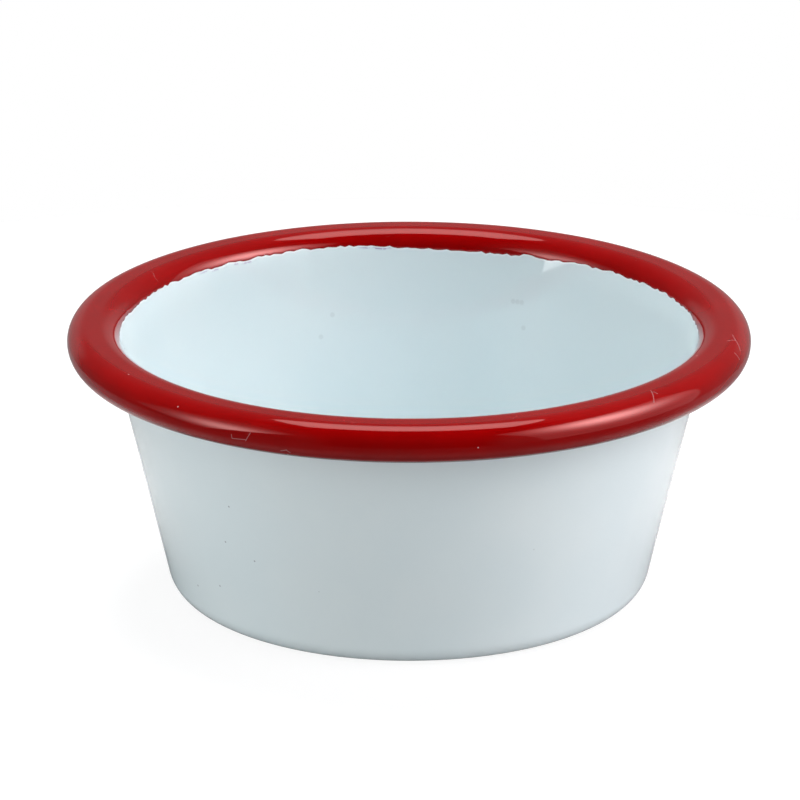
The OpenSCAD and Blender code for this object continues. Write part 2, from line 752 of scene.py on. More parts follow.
# Scratches bend and come and go by noise of these scales. They show where it is over a level that
# sinks as their share grows, and end softly.
SCRATCH_BEND_SCALE = 1.7
SCRATCH_PATCH_SCALE = 0.9
SCRATCH_LEVELS = (0.75, 0.35)
SCRATCH_END = 0.05
# Core of a placed mark, as a share of its width.
MARK_CORE = 0.5


def glaze_mottle_group():
    """Slow changes in a glaze over some millimetres."""
    tree, given, made = new_group("Glaze Mottle", [("Size", 8 * MM), ("Detail", 2.0)], ["Value"])
    place = place_over_size(tree, given.outputs["Size"])
    cloud = noise_node(tree, place, 1.0, given.outputs["Detail"]).outputs["Fac"]
    tree.links.new(range_node(tree, cloud, *MOTTLE_FROM_TO), made.inputs["Value"])
    return tree


def glaze_peel_group():
    """Fine dimpling of a fired glaze, as a height."""
    tree, given, made = new_group("Glaze Peel", [("Size", 1.2 * MM), ("Soft Share", 0.6)], ["Height"])
    place = place_over_size(tree, given.outputs["Size"])
    fine = noise_node(tree, place, 1.0, 1.0).outputs["Fac"]
    soft = noise_node(tree, place, PEEL_SOFT_SCALE, 0.0).outputs["Fac"]
    soft_part = math_node(tree, "MULTIPLY", soft, given.outputs["Soft Share"])
    fine_share = math_node(tree, "SUBTRACT", 1.0, given.outputs["Soft Share"])
    fine_part = math_node(tree, "MULTIPLY", fine, fine_share)
    tree.links.new(math_node(tree, "ADD", soft_part, fine_part), made.inputs["Height"])
    return tree


def kiln_specks_group():
    """Sparse round specks, such as pinholes and grit, as a mask."""
    inputs = [("Spacing", 4 * MM), ("Radius", 0.06), ("Share", 0.5)]
    tree, given, made = new_group("Kiln Specks", inputs, ["Mask"])
    place = place_over_size(tree, given.outputs["Spacing"])
    cells = cells_node(tree, place, "F1")
    draws = add_node(tree, "ShaderNodeSeparateColor", None, {0: cells.outputs["Color"]})
    present = math_node(tree, "LESS_THAN", draws.outputs[0], given.outputs["Share"])
    grown = range_node(tree, draws.outputs[1], 0.0, 1.0, SPECK_LEAST, 1.0)
    reach = math_node(tree, "MULTIPLY", grown, given.outputs["Radius"])
    inner = math_node(tree, "MULTIPLY", reach, SPECK_CORE)
    dot = range_node(tree, cells.outputs["Distance"], inner, reach, 1.0, 0.0)
    tree.links.new(math_node(tree, "MULTIPLY", dot, present), made.inputs["Mask"])
    return tree


def fine_scratches_group():
    """Short, thin, curved scratches, as a mask."""
    inputs = [("Spacing", 6 * MM), ("Width", 0.01), ("Share", 0.3)]
    tree, given, made = new_group("Fine Scratches", inputs, ["Mask"])
    place = place_over_size(tree, given.outputs["Spacing"])
    bent = noise_node(tree, place, SCRATCH_BEND_SCALE, 1.0).outputs["Color"]
    shifted = vector_node(tree, "ADD", place, bent).outputs["Vector"]
    edges = cells_node(tree, shifted, "DISTANCE_TO_EDGE")
    line = range_node(tree, edges.outputs["Distance"], 0.0, given.outputs["Width"], 1.0, 0.0)
    patch = noise_node(tree, place, SCRATCH_PATCH_SCALE, 2.0).outputs["Fac"]
    start = range_node(tree, given.outputs["Share"], 0.0, 1.0, *SCRATCH_LEVELS)
    end = math_node(tree, "ADD", start, SCRATCH_END)
    shown = range_node(tree, patch, start, end)
    tree.links.new(math_node(tree, "MULTIPLY", line, shown), made.inputs["Mask"])
    return tree


def fine_mark_group():
    """A fine straight mark between two points of the dish, or a spot where they are one, as a mask."""
    inputs = [("Start", (0.0, 0.0, 0.0)), ("End", (0.0, 0.0, 0.0)), ("Width", 0.1 * MM)]
    tree, given, made = new_group("Fine Mark", inputs, ["Mask"])
    place = add_node(tree, "ShaderNodeTexCoord").outputs["Object"]
    reach = vector_node(tree, "SUBTRACT", place, given.outputs["Start"]).outputs["Vector"]
    run = vector_node(tree, "SUBTRACT", given.outputs["End"], given.outputs["Start"]).outputs["Vector"]
    along = vector_node(tree, "DOT_PRODUCT", reach, run).outputs["Value"]
    whole = vector_node(tree, "DOT_PRODUCT", run, run).outputs["Value"]
    share = math_node(tree, "DIVIDE", along, whole, clamp=True)
    nearest = scaled(tree, run, share)
    off = vector_node(tree, "DISTANCE", reach, nearest).outputs["Value"]
    core = math_node(tree, "MULTIPLY", given.outputs["Width"], MARK_CORE)
    tree.links.new(range_node(tree, off, core, given.outputs["Width"], 1.0, 0.0), made.inputs["Mask"])
    return tree


GROUPS = {
    "Fine Mark": fine_mark_group,
    "Glaze Mottle": glaze_mottle_group,
    "Glaze Peel": glaze_peel_group,
    "Kiln Specks": kiln_specks_group,
    "Fine Scratches": fine_scratches_group,
}


def effect(tree, name, **values):
    """Output of an effect that materials share, built when first used."""
    group = bpy.data.node_groups.get(name) or GROUPS[name]()
    made = tree.nodes.new("ShaderNodeGroup")
    made.node_tree = group
    for socket, value in values.items():
        made.inputs[socket.replace("_", " ")].default_value = value
    return made.outputs[0]


def placed_marks(tree, lines, kind):
    """Mask of fine marks through lines of points on the dish. A line of one point is a spot."""
    mask = 0.0
    for points in lines:
        for start, end in zip(points, points[1:] or points):
            mark = effect(tree, "Fine Mark", Start=start, End=end, Width=kind.width)
            mask = math_node(tree, "MAXIMUM", mark, mask)
    return at_strength(tree, mask, kind.strength)


def wall_spots(spots, outside):
    """A point on the white wall for each angle round the dish and height, as lines of one point."""
    profile = CupProfile(bpy.context.scene.ramekin_sizes)
    offset = profile.outside_white if outside else profile.inside_white
    lines = []
    for around, height in spots:
        s = profile.face_station((height * MM - profile.lip_start.z) / math.cos(profile.lean))
        r = s.r + offset * math.cos(s.facing)
        z = s.z + offset * math.sin(s.facing)
        lines.append([turned_point(r, z, s.facing, math.radians(around), 0)])
    return lines


def bead_line(hair):
    """Points along a hair that lies on the red bead."""
    packed = packed_sizes()
    heading = math.radians(hair.heading)
    count = math.ceil(hair.length / HAIR_STEP)
    points = []
    for i in range(count + 1):
        run = hair.length * MM * i / max(1, count)
        around = math.radians(hair.around) + run * math.cos(heading) / packed.rim_radius
        tilt = math.radians(hair.tilt) + run * math.sin(heading) / packed.bead_radius
        r = packed.rim_radius + packed.bead_radius * (math.cos(tilt) - 1)
        z = packed.height + packed.bead_radius * (math.sin(tilt) - 1)
        points.append(turned_point(r, z, tilt, around, 0))
    return points


def new_finish(name, roughness=0.1, metallic=0.0, ior=1.52):
    """A material with one Principled shader. Gives the material, its tree and the shader."""
    finish = bpy.data.materials.new(name)
    finish.use_nodes = True
    tree = finish.node_tree
    shader = tree.nodes["Principled BSDF"]
    # A mean roughness, for viewers that don't read the nodes that feed this socket.
    shader.inputs["Roughness"].default_value = roughness
    shader.inputs["Metallic"].default_value = metallic
    shader.inputs["IOR"].default_value = ior
    return finish, tree, shader


def set_bump(tree, shader, height, depth):
    """Gives a shader a fine relief."""
    relief = add_node(tree, "ShaderNodeBump", None, {"Height": height, "Distance": depth})
    tree.links.new(relief.outputs[0], shader.inputs["Normal"])


# Width and strength of the placed marks.
Mark = namedtuple("Mark", "width strength")
WALL_SPECK = Mark(0.15 * MM, 0.5)
WALL_SMUDGE = Mark(0.4 * MM, 0.1)
RIM_HAIR = Mark(0.065 * MM, 0.16)
RIM_DUST = Mark(0.1 * MM, 0.5)

# Their places in the white: degrees round the dish and mm up.
OUTER_SPECKS = ((213, 5.5), (222.5, 7), (227.5, 13.5), (230.5, 18.5), (235, 12))
INNER_SPECKS = ((178, 28.5),)
INNER_SMUDGES = ((64, 22), (65, 25), (66, 25), (67, 25), (107, 23), (110, 20.5))

# Their places in the red: degrees round the dish, degrees up the bead's section, the way that a
# hair runs in degrees from along the rim to up the bead, and its length in mm. Dust has no length.
Hair = namedtuple("Hair", "around tilt heading length", defaults=(0, 0))
# A hair follows the bead in straight steps of at most this many mm.
HAIR_STEP = 0.6
RED_HAIRS = (
    Hair(240.5, -14, 5, 1.8),
    Hair(240.5, -14, 95, 0.5),
    Hair(243, -14, 60, 1.2),
    Hair(249, -33, 20, 0.8),
    Hair(250, -26, -45, 0.6),
    Hair(316, 90, -125, 2.2),
    Hair(316, 79, -75, 0.5),
    Hair(347, 92, -45, 1.2),
    Hair(348.5, 72, -150, 2.4),
    Hair(350.5, 85, -160, 1.8),
    Hair(343, 52, -90, 1.0),
)
RED_DUST = (Hair(213, 87), Hair(229, 42), Hair(250, -50), Hair(281, 0), Hair(316, -35))


# Strength of the scattered marks.
WHITE_SPECKS = 0.3
WHITE_SMUDGES = 0.1
RED_SCRATCHES = 0.4
RED_MARKS = 0.3
STEEL_SCRATCHES = 0.4
# Strength of the pale line in the white along the red, and of the white behind the red's thin edge.
PALE_LINE = 0.7
THIN_EDGE = 0.4
# The violet streaks break up over this range of a fine mottle.
STREAK_FROM_TO = (0.35, 0.65)
# Dark end of the mottle, as a share of the colour.
GROUND_DARK = 0.6
STEEL_DARK = 0.45
# Roughness from the smooth end of the mottle to the dull one, and what marks add to it.
WHITE_ROUGHNESS = (0.03, 0.06)
RED_ROUGHNESS = (0.025, 0.05)
GROUND_ROUGHNESS = (0.18, 0.35)
STEEL_ROUGHNESS = (0.35, 0.6)
WHITE_SCRATCH_ROUGHNESS = 0.25
RED_MARK_ROUGHNESS = 0.3
# Depth of the fine relief.
GLAZE_RELIEF = 0.004 * MM
GROUND_RELIEF = 0.02 * MM
STEEL_RELIEF = 0.01 * MM


def white_glaze(colours):
    """Cool white enamel with specks, faint scratches and a violet stain by the red edge."""
    finish, tree, shader = new_finish("white_glaze")
    mottle = effect(tree, "Glaze Mottle", Size=14 * MM, Detail=3.0)
    specks = effect(tree, "Kiln Specks", Spacing=6 * MM, Radius=0.03, Share=0.6)
    smudges = effect(tree, "Kiln Specks", Spacing=15 * MM, Radius=0.05, Share=0.5)
    scratches = effect(tree, "Fine Scratches", Spacing=9 * MM, Width=0.006, Share=0.25)
    colour = mix_colours(tree, mottle, colours.white, colours.white_cool)
    specks = at_strength(tree, specks, WHITE_SPECKS)
    smudges = at_strength(tree, smudges, WHITE_SMUDGES)
    spots = wall_spots(OUTER_SPECKS, True) + wall_spots(INNER_SPECKS, False)
    placed_specks = placed_marks(tree, spots, WALL_SPECK)
    placed_smudges = placed_marks(tree, wall_spots(INNER_SMUDGES, False), WALL_SMUDGE)
    marks = specks
    for more in (smudges, placed_specks, placed_smudges):
        marks = math_node(tree, "MAXIMUM", marks, more)
    colour = mix_colours(tree, marks, colour, colours.ground)
    pale = at_strength(tree, point_value(tree, "edge_pale"), PALE_LINE)
    colour = mix_colours(tree, pale, colour, colours.white_edge)
    patchy = effect(tree, "Glaze Mottle", Size=0.9 * MM, Detail=3.0)
    broken = range_node(tree, patchy, *STREAK_FROM_TO)
    stain = at_strength(tree, point_value(tree, "edge_stain"), broken)
    colour = mix_colours(tree, stain, colour, colours.violet)
    tree.links.new(colour, shader.inputs["Base Color"])
    rough = range_node(tree, mottle, 0.0, 1.0, *WHITE_ROUGHNESS)
    rough = math_node(tree, "ADD", rough, at_strength(tree, scratches, WHITE_SCRATCH_ROUGHNESS))
    tree.links.new(rough, shader.inputs["Roughness"])
    peel = effect(tree, "Glaze Peel", Size=1.6 * MM)
    set_bump(tree, shader, math_node(tree, "SUBTRACT", peel, specks), GLAZE_RELIEF)
    return finish


def red_glaze(colours):
    """Deep red enamel, thinner and paler at its ragged edge, with dust pits and hair scratches."""
    finish, tree, shader = new_finish("red_glaze", ior=1.6)
    shader.inputs["Specular Tint"].default_value = (*colours.red_shine, 1)
    mottle = effect(tree, "Glaze Mottle", Size=6 * MM, Detail=3.0)
    specks = effect(tree, "Kiln Specks", Spacing=3.2 * MM, Radius=0.03, Share=0.6)
    scratches = effect(tree, "Fine Scratches", Spacing=5 * MM, Width=0.008, Share=0.3)
    colour = mix_colours(tree, mottle, colours.red, colours.red_deep)
    thin = range_node(tree, point_value(tree, "edge_cover"), 0.0, 1.0, THIN_EDGE, 0.0)
    colour = mix_colours(tree, thin, colour, colours.red_thin)
    marks = math_node(tree, "MAXIMUM", specks, at_strength(tree, scratches, RED_SCRATCHES))
    hairs = placed_marks(tree, [bead_line(hair) for hair in RED_HAIRS], RIM_HAIR)
    dust = placed_marks(tree, [bead_line(speck) for speck in RED_DUST], RIM_DUST)
    pale = at_strength(tree, marks, RED_MARKS)
    for more in (hairs, dust):
        pale = math_node(tree, "MAXIMUM", pale, more)
    colour = mix_colours(tree, pale, colour, colours.white)
    tree.links.new(colour, shader.inputs["Base Color"])
    rough = range_node(tree, mottle, 0.0, 1.0, *RED_ROUGHNESS)
    rough = math_node(tree, "ADD", rough, at_strength(tree, marks, RED_MARK_ROUGHNESS))
    tree.links.new(rough, shader.inputs["Roughness"])
    peel = effect(tree, "Glaze Peel", Size=1.4 * MM)
    set_bump(tree, shader, math_node(tree, "SUBTRACT", peel, marks), GLAZE_RELIEF)
    return finish


def ground_glaze(colours):
    """Blue-black ground coat with pinholes."""
    finish, tree, shader = new_finish("ground_glaze", roughness=0.25)
    mottle = effect(tree, "Glaze Mottle", Size=2 * MM, Detail=4.0)
    specks = effect(tree, "Kiln Specks", Spacing=1.5 * MM, Radius=0.12, Share=0.7)
    dark = [GROUND_DARK * c for c in colours.ground]
    tree.links.new(mix_colours(tree, mottle, colours.ground, dark), shader.inputs["Base Color"])
    tree.links.new(range_node(tree, mottle, 0.0, 1.0, *GROUND_ROUGHNESS), shader.inputs["Roughness"])
    peel = effect(tree, "Glaze Peel", Size=0.8 * MM)
    set_bump(tree, shader, math_node(tree, "SUBTRACT", peel, specks), GROUND_RELIEF)
    return finish


def fired_steel(colours):
    """Pressed sheet, clouded by the kiln."""
    finish, tree, shader = new_finish("fired_steel", roughness=0.45, metallic=1.0)
    mottle = effect(tree, "Glaze Mottle", Size=5 * MM, Detail=5.0)
    scratches = effect(tree, "Fine Scratches", Spacing=3 * MM, Width=0.02, Share=0.6)
    dark = [STEEL_DARK * c for c in colours.steel]
    colour = mix_colours(tree, mottle, colours.steel, dark)
    bright = at_strength(tree, scratches, STEEL_SCRATCHES)
    colour = mix_colours(tree, bright, colour, colours.steel)
    tree.links.new(colour, shader.inputs["Base Color"])
    tree.links.new(range_node(tree, mottle, 0.0, 1.0, *STEEL_ROUGHNESS), shader.inputs["Roughness"])
    set_bump(tree, shader, scratches, STEEL_RELIEF)
    return finish


FINISHES = {
    "white_glaze": white_glaze,
    "red_glaze": red_glaze,
    "ground_glaze": ground_glaze,
    "fired_steel": fired_steel,
}


def finish_of(context, name):
    """A finish by name, made when first used."""
    return bpy.data.materials.get(name) or FINISHES[name](context.scene.ramekin_colours)


class RAMEKIN_OT_steel_cup(bpy.types.Operator):
    """Add the pressed steel cup with its rolled edge"""

    bl_idname = "ramekin.steel_cup"
    bl_label = "Steel Cup"

    def execute(self, context):
        profile = CupProfile(context.scene.ramekin_sizes)
        inside = coat_rings(profile.whole(), 0, AROUND_HIDDEN)
        outside = coat_rings(profile.whole(), -profile.packed.steel, AROUND_HIDDEN)
        finish = finish_of(context, "fired_steel")
        turned_piece("steel_cup", inside + outside[::-1], "steel_shell", finish)
        return {"FINISHED"}


class RAMEKIN_OT_ground_coats(bpy.types.Operator):
    """Add the dark ground coats on both faces of the steel"""

    bl_idname = "ramekin.ground_coats"
    bl_label = "Ground Coats"

    def execute(self, context):
        profile = CupProfile(context.scene.ramekin_sizes)
        packed = profile.packed
        finish = finish_of(context, "ground_glaze")
        layers = (
            ("inside_ground_coat", "ground_coat_inside", packed.ground, 0),
            ("outside_ground_coat", "ground_coat_outside", -packed.steel, profile.outside_ground),
        )
        for name, node, upper, lower in layers:
            top = coat_rings(profile.whole(), upper, AROUND_HIDDEN)
            bottom = coat_rings(profile.whole(), lower, AROUND_HIDDEN)
            turned_piece(name, top + bottom[::-1], node, finish)
        return {"FINISHED"}


class RAMEKIN_OT_white_coats(bpy.types.Operator):
    """Add the white enamel inside and outside"""

    bl_idname = "ramekin.white_coats"
    bl_label = "White Coats"

    # Rings along the red edge: distance up from it, and shares of the pale line and of the violet
    # streaks there.
    EDGE_RINGS = (
        (-0.9 * MM, 0.0, 0.0),
        (-0.5 * MM, 0.0, 0.0),
        (-0.34 * MM, 0.0, 0.2),
        (-0.24 * MM, 0.3, 1.0),
        (-0.16 * MM, 0.8, 0.4),
        (-0.08 * MM, 1.0, 0.0),
        (0.3 * MM, 1.0, 0.0),
    )

    def execute(self, context):
        sizes = context.scene.ramekin_sizes
        profile = CupProfile(sizes)
        edge = RaggedEdge(sizes, profile)
        finish = finish_of(context, "white_glaze")
        white = profile.inside_white
        cup = profile.cup[:-1]
        glaze = coat_rings(cup, white, AROUND, sizes.ripple)
        for rise, _, _ in self.EDGE_RINGS:
            glaze.append(edge.ring(rise, white, sizes.ripple))
        lap_start = self.EDGE_RINGS[-1][0]
        for climb in LAP_CLIMBS:
            glaze.append(edge.ring(lap_start, white, sizes.ripple, climb, WHITE_LAP_END))
        glaze += coat_rings([profile.lip_station(WHITE_LAP_END)], white, AROUND, sizes.ripple)
        lapped = profile.cup + profile.lip(profile.lean, WHITE_LAP_END)
        back = coat_rings(lapped, profile.packed.ground, AROUND_HIDDEN)
        rings = glaze + back[::-1]
        inside = turned_piece("inside_white_coat", rings, "white_enamel_inside", finish)
        plain = [0] * len(cup)
        streaks = [edge.streak(around) for around in around_angles(AROUND_EDGE)]
        pales = plain + [pale for _, pale, _ in self.EDGE_RINGS]
        stains = plain + [[share * streak for streak in streaks] for _, _, share in self.EDGE_RINGS]
        set_ring_values(inside, "edge_pale", rings, pales, rest=0)
        set_ring_values(inside, "edge_stain", rings, stains, rest=0)
        walled = profile.cup + [profile.lip_start]
        back = coat_rings(walled, profile.outside_ground, AROUND_HIDDEN)
        glaze = coat_rings(walled, profile.outside_white, AROUND, -sizes.ripple)
        rings = back + glaze[::-1]
        turned_piece("outside_white_coat", rings, "white_enamel_outside", finish)
        return {"FINISHED"}


class RAMEKIN_OT_red_rim(bpy.types.Operator):
    """Add the red enamel over the lip and the bead, with its ragged inner edge"""

    bl_idname = "ramekin.red_rim"
    bl_label = "Red Rim"

    # Rounding of the edge: distance up from it, and share of the red's step above the white.
    ROUNDING = ((0.02 * MM, 0.5), (0.05 * MM, 0.85), (0.1 * MM, 0.98), (0.3 * MM, 1.0))

    def execute(self, context):
        sizes = context.scene.ramekin_sizes
        profile = CupProfile(sizes)
        edge = RaggedEdge(sizes, profile)
        step = profile.rim_red - profile.inside_white
        foot = profile.inside_white - RED_LAP_SINK
        glaze = [edge.ring(0, foot)]
        for rise, share in self.ROUNDING:
            glaze.append(edge.ring(rise, profile.inside_white + share * step, sizes.ripple))
        lap_start = self.ROUNDING[-1][0]
        for climb in LAP_CLIMBS:
            glaze.append(edge.ring(lap_start, profile.rim_red, sizes.ripple, climb))
        rim = profile.lip(RED_LAP_END, UP) + profile.roll
        glaze += coat_rings(rim, profile.rim_red, AROUND, sizes.ripple)
        lap = coat_rings(rim[:1], foot, AROUND)
        lap += [edge.ring(lap_start, foot, climb=climb) for climb in (*LAP_CLIMBS[::-2], 0)]
        back = coat_rings(rim[1:], profile.packed.ground, AROUND)
        rings = glaze + back[::-1] + lap
        finish = finish_of(context, "red_glaze")
        piece = turned_piece("rim_red_coat", rings, "red_rim_enamel", finish)
        covers = [0] + [share for _, share in self.ROUNDING]
        set_ring_values(piece, "edge_cover", rings, covers, rest=1)
        return {"FINISHED"}


# Brightest place of a lamp's face, in metres from the middle, how far its glow spreads, the share of
# it that the rest of the face has, and the height above which the face is dark.
HotSpot = namedtuple("HotSpot", "across up spread_across spread_up rest top", defaults=(None,))
# Without a shine, the glaze doesn't mirror a softbox.
Softbox = namedtuple(
    "Softbox",
    "name place size light shine hot_spot shape roll tint",
    defaults=(0, None, "RECTANGLE", 0, (1, 1, 1)),
)
# The image's lamp stands a little in front, so that rays meet it first.
SHINE_AHEAD = 0.99
# Middle of a lamp's face in its own coordinates, which run from 0 to 1.
FACE_MIDDLE = 0.5


def add_softbox(box, target):
    """Lamps for the light that a softbox sheds and for its image in the glaze."""
    if box.light:
        add_lamp(box, box.name + "_light", box.light, target).visible_glossy = False
    if box.shine:
        ahead = box._replace(place=box.place * SHINE_AHEAD)
        add_lamp(ahead, box.name + "_shine", box.shine, target).visible_diffuse = False


def add_lamp(box, name, brightness, target):
    """A flat lamp with an even face, or one that fades away from its hot spot."""
    width, height = box.size
    lamp = bpy.data.lights.new(name, "AREA")
    lamp.shape = box.shape
    lamp.size = width
    lamp.size_y = height
    area = width * height * (math.pi / 4 if box.shape == "ELLIPSE" else 1)
    lamp.energy = brightness * math.pi * area
    lamp.color = box.tint
    if box.hot_spot:
        fade(lamp, box.hot_spot)
    thing = bpy.data.objects.new(name, lamp)
    thing.location = target + box.place
    facing = (-box.place).to_track_quat("-Z", "Y")
    thing.rotation_euler = (facing @ Quaternion((0, 0, 1), box.roll)).to_euler()
    thing.visible_camera = False
    bpy.context.scene.collection.objects.link(thing)
    return thing


def fade(lamp, hot_spot):
    """Fades a lamp's face with the distance from its hot spot, down to the rest of the face."""
    lamp.use_nodes = True
    tree = lamp.node_tree
    place = add_node(tree, "ShaderNodeNewGeometry").outputs["Parametric"]
    sides = add_node(tree, "ShaderNodeSeparateXYZ", None, {0: place})
    across = math_node(tree, "SUBTRACT", sides.outputs["X"], FACE_MIDDLE + hot_spot.across / lamp.size)
    up = math_node(tree, "SUBTRACT", sides.outputs["Y"], FACE_MIDDLE + hot_spot.up / lamp.size_y)
    across = math_node(tree, "MULTIPLY", across, lamp.size / hot_spot.spread_across)
    up = math_node(tree, "MULTIPLY", up, lamp.size_y / hot_spot.spread_up)
    across_squared = math_node(tree, "MULTIPLY", across, across)
    up_squared = math_node(tree, "MULTIPLY", up, up)
    spread = math_node(tree, "ADD", across_squared, up_squared)
    bright = math_node(tree, "EXPONENT", math_node(tree, "MULTIPLY", spread, -1.0))
    level = range_linear(tree, bright, hot_spot.rest)
    if hot_spot.top is not None:
        top = FACE_MIDDLE + hot_spot.top / lamp.size_y
        below = math_node(tree, "LESS_THAN", sides.outputs["Y"], top)
        level = math_node(tree, "MULTIPLY", level, below)
    tree.links.new(level, tree.nodes["Emission"].inputs["Strength"])


def range_linear(tree, value, low):
    """A value from 0 to 1, moved to the range from a low to 1."""
    return math_node(tree, "ADD", math_node(tree, "MULTIPLY", value, 1.0 - low), low)


def place_from_dish(turn, rise, distance):
    """A place by its turn from the camera's side and its rise, both in degrees, and its distance."""
    turn = math.radians(turn)
    rise = math.radians(rise)
    level = distance * math.cos(rise)
    return Vector((level * math.sin(turn), -level * math.cos(turn), distance * math.sin(rise)))


class RAMEKIN_OT_stage(bpy.types.Operator):
    """Add the table, the light and the camera"""

    bl_idname = "ramekin.stage"
    bl_label = "Stage"

    TABLE_RADIUS = 0.155
    TABLE_CORNERS = 128
    TABLE_CLEARANCE = 0.02 * MM
    # Distances from the middle over which the table's painted light at the foot and its painted pool of
    # light near the dish end, places from front to back over which its painted shadow in front grows
    # from dim to plain, and by what share.
    FOOT_LIGHT_FROM_TO = (0.0275, 0.0325)
    LIGHT_POOL_FROM_TO = (0.05, 0.08)
    PAINTED_SHADOW_FROM_TO = (-0.05, 0.02)
    PAINTED_SHADOW_SHARE = 0.55
    # The room by direction: how far aside the walls start, how far back the room ends, how far back
    # the backdrop starts, and how far up and down it ends.
    WALL_FROM_TO = (0.35, 0.6)
    ROOM_FROM_TO = (-0.1, 0.3)
    BACKDROP_FROM_TO = (0.65, 0.85)
    BACKDROP_END = (0.2, 0.5)
    # Tint of the lamps on the right.
    WARM = (1.0, 0.945, 0.96)

    def execute(self, context):
        studio = context.scene.ramekin_studio
        self.add_table(context, studio)
        self.add_world(context, studio)
        self.add_lamps(studio)
        self.add_camera(context, studio)
        context.scene.view_settings.view_transform = "Standard"
        return {"FINISHED"}

    def add_table(self, context, studio):
        """A round pale table that the camera sees as white, with the dish's shadow."""
        z = cad_low.z - self.TABLE_CLEARANCE
        edge = []
        for a in around_angles(self.TABLE_CORNERS):
            edge.append((self.TABLE_RADIUS * math.cos(a), self.TABLE_RADIUS * math.sin(a), z))
        mesh = bpy.data.meshes.new("table")
        mesh.from_pydata(edge, [], [range(self.TABLE_CORNERS)])
        paint = bpy.data.materials.new("table_paint")
        paint.use_nodes = True
        tree = paint.node_tree
        tree.nodes.clear()
        ray = add_node(tree, "ShaderNodeLightPath")
        seen = ray.outputs["Is Camera Ray"]
        # Rays other than the camera's see the table's painted light and shade.
        colour = mix_colours(tree, seen, self.painted_table_light_and_shade(tree, studio), studio.table)
        matt = add_node(tree, "ShaderNodeBsdfDiffuse", None, {"Color": colour})
        lift = math_node(tree, "MULTIPLY", seen, studio.table_lift)
        glow = add_node(tree, "ShaderNodeEmission", None, {"Strength": lift})
        both = add_node(tree, "ShaderNodeAddShader", None, {0: matt.outputs[0], 1: glow.outputs[0]})
        add_node(tree, "ShaderNodeOutputMaterial", None, {"Surface": both.outputs[0]})
        mesh.materials.append(paint)
        table = bpy.data.objects.new("table", mesh)
        context.scene.collection.objects.link(table)

    def painted_table_light_and_shade(self, tree, studio):
        """Painted light and shade in the table that the dish mirrors: a pale pool round the foot, and dim
        in front as painted shadow of the dish.
        """
        place = add_node(tree, "ShaderNodeTexCoord").outputs["Object"]
        part = add_node(tree, "ShaderNodeSeparateXYZ", None, {0: place})
        out = add_node(tree, "ShaderNodeVectorMath", {"operation": "LENGTH"}, {0: place}).outputs["Value"]
        # Painted light: the pool of table round the dish.
        light_pool = range_node(tree, out, *self.LIGHT_POOL_FROM_TO, 1.0, 0.0)
        colour = mix_colours(tree, light_pool, studio.table, studio.table_light_pool)
        # Painted shadow: the table dimmed in front, where the dish's shadow falls.
        painted_shadow = range_node(tree, part.outputs["Y"], *self.PAINTED_SHADOW_FROM_TO, self.PAINTED_SHADOW_SHARE, 0.0)
        colour = mix_colours(tree, painted_shadow, colour, (0, 0, 0))
        # Painted light: the ring at the foot, left undimmed.
        foot = range_node(tree, out, *self.FOOT_LIGHT_FROM_TO, 1.0, 0.0)
        return mix_colours(tree, foot, colour, studio.table_foot_light_pool)

    def add_world(self, context, studio):
        """A dark room behind the camera and a pale backdrop behind the dish. The camera sees white."""
        world = bpy.data.worlds.new("studio")
        context.scene.world = world
        world.use_nodes = True
        tree = world.node_tree
        tree.nodes.clear()
        direction = add_node(tree, "ShaderNodeTexCoord").outputs["Generated"]
        part = add_node(tree, "ShaderNodeSeparateXYZ", None, {0: direction})
        sideways = math_node(tree, "ABSOLUTE", part.outputs["X"])
        aside = range_node(tree, sideways, *self.WALL_FROM_TO)
        back = range_node(tree, part.outputs["Y"], *self.ROOM_FROM_TO)
        away = math_node(tree, "MAXIMUM", back, aside)
        walls = range_node(tree, part.outputs["X"], -1.0, 1.0, studio.left_wall, studio.right_wall)
        level = range_node(tree, away, 0.0, 1.0, studio.room, walls)
        behind = range_node(tree, part.outputs["Y"], *self.BACKDROP_FROM_TO)
        upwards = math_node(tree, "ABSOLUTE", part.outputs["Z"])
        low = range_node(tree, upwards, *self.BACKDROP_END, 1.0, 0.0)
        backdrop = math_node(tree, "MULTIPLY", behind, low)
        level = math_node(tree, "MAXIMUM", level, at_strength(tree, backdrop, studio.backdrop))
        ray = add_node(tree, "ShaderNodeLightPath")
        level = math_node(tree, "MAXIMUM", level, ray.outputs["Is Camera Ray"])
        sky = add_node(tree, "ShaderNodeBackground", None, {"Color": (1, 1, 1, 1), "Strength": level})
        add_node(tree, "ShaderNodeOutputWorld", None, {"Surface": sky.outputs[0]})

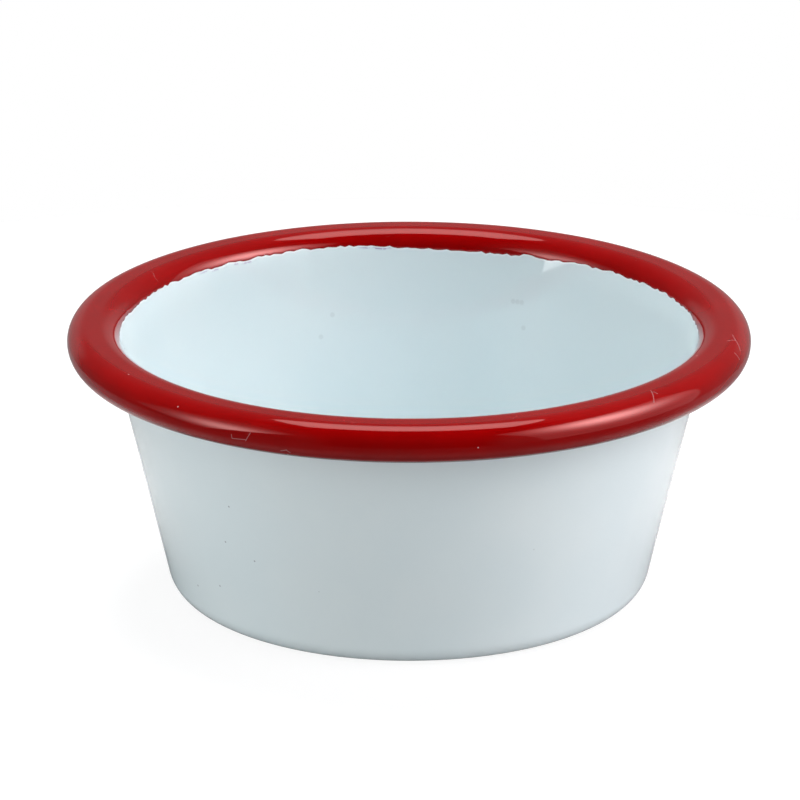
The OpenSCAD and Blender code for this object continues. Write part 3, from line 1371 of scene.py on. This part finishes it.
    def add_lamps(self, studio):
        """Softboxes above and on both sides, and fills that the glaze doesn't mirror."""
        rim = Vector((0, 0, cad_high.z))
        overhead = Softbox(
            name="overhead",
            place=Vector((0, 0.1, 1.0)),
            size=(0.64, 1.4),
            light=studio.overhead_light,
            shine=studio.overhead_shine,
            hot_spot=HotSpot(across=0, up=-0.03, spread_across=0.9, spread_up=0.68, rest=0, top=0.1),
            shape="ELLIPSE",
        )
        right = Softbox(
            name="right",
            place=place_from_dish(75, 16, 1.1),
            size=(1.48, 1.6),
            light=studio.right_light,
            shine=studio.right_shine,
            hot_spot=HotSpot(across=-0.02, up=0.37, spread_across=0.38, spread_up=0.32, rest=0.045),
            tint=self.WARM,
        )
        left = Softbox(
            name="left",
            place=place_from_dish(-70, 16, 1.1),
            size=(0.72, 1.1),
            light=studio.left_light,
            shine=studio.left_shine,
            hot_spot=HotSpot(across=0.224, up=0.0, spread_across=0.28, spread_up=0.29, rest=0.03),
            roll=math.radians(-34),
        )
        for box in (overhead, right, left):
            add_softbox(box, rim)
        front = Softbox(
            name="front",
            place=place_from_dish(0, 30, 1.5),
            size=(1.6, 1.2),
            light=studio.front_light,
        )
        low_front = Softbox(
            name="low_front",
            place=place_from_dish(0, 1, 0.5),
            size=(0.5, 0.06),
            light=studio.low_front_light,
        )
        low_right = Softbox(
            name="low_right",
            place=place_from_dish(86, 2.5, 0.6),
            size=(0.6, 0.08),
            light=studio.low_right_light,
            tint=self.WARM,
        )
        low_left = Softbox(
            name="low_left",
            place=place_from_dish(-86, 2.5, 0.6),
            size=(0.6, 0.08),
            light=studio.low_left_light,
        )
        for fill in (front, low_front, low_right, low_left):
            add_softbox(fill, rim / 2)

    def add_camera(self, context, studio):
        """A long lens, with the middle of the rim at its place in the frame."""
        packed = packed_sizes()
        rim = Vector((0, 0, packed.height - packed.bead_radius))
        focal_pixels = studio.rim_scale * studio.distance / packed.rim_radius
        lens = bpy.data.cameras.new("camera")
        lens.sensor_width = SENSOR_WIDTH_MM
        lens.lens = SENSOR_WIDTH_MM * focal_pixels / IMAGE_SIDE
        camera = bpy.data.objects.new("camera", lens)
        towards = Vector((0, -math.cos(studio.elevation), math.sin(studio.elevation)))
        camera.location = rim + studio.distance * towards
        across = math.atan((studio.rim_pixel[0] - IMAGE_SIDE / 2) / focal_pixels)
        down = math.atan((studio.rim_pixel[1] - IMAGE_SIDE / 2) / focal_pixels)
        tilt = Matrix.Rotation(UP - studio.elevation + down, 4, "X")
        camera.rotation_euler = (Matrix.Rotation(across, 4, "Z") @ tilt).to_euler()
        context.scene.collection.objects.link(camera)
        context.scene.camera = camera


class RAMEKIN_PT_sidebar(bpy.types.Panel):
    """Sizes, colours, light and the steps that build the dish"""

    bl_idname = "RAMEKIN_PT_sidebar"
    bl_label = "Enamel Ramekin"
    bl_space_type = "VIEW_3D"
    bl_region_type = "UI"
    bl_category = "Ramekin"

    def draw(self, context):
        scene = context.scene
        for title, group in (
            ("Sizes", scene.ramekin_sizes),
            ("Colours", scene.ramekin_colours),
            ("Studio", scene.ramekin_studio),
        ):
            box = self.layout.box()
            box.label(text=title)
            for name in group.__annotations__:
                box.prop(group, name)
        for step in STEPS:
            self.layout.operator(step.bl_idname)


STEPS = (
    RAMEKIN_OT_steel_cup,
    RAMEKIN_OT_ground_coats,
    RAMEKIN_OT_white_coats,
    RAMEKIN_OT_red_rim,
    RAMEKIN_OT_stage,
)
CLASSES = (RamekinSizes, RamekinColours, RamekinStudio, *STEPS, RAMEKIN_PT_sidebar)


def register():
    for cls in CLASSES:
        bpy.utils.register_class(cls)
    bpy.types.Scene.ramekin_sizes = PointerProperty(type=RamekinSizes)
    bpy.types.Scene.ramekin_colours = PointerProperty(type=RamekinColours)
    bpy.types.Scene.ramekin_studio = PointerProperty(type=RamekinStudio)


def unregister():
    del bpy.types.Scene.ramekin_studio
    del bpy.types.Scene.ramekin_colours
    del bpy.types.Scene.ramekin_sizes
    for cls in reversed(CLASSES):
        bpy.utils.unregister_class(cls)


def main():
    register()
    bpy.ops.ramekin.steel_cup()
    bpy.ops.ramekin.ground_coats()
    bpy.ops.ramekin.white_coats()
    bpy.ops.ramekin.red_rim()
    bpy.ops.ramekin.stage()


if __name__ == "__main__":
    main()
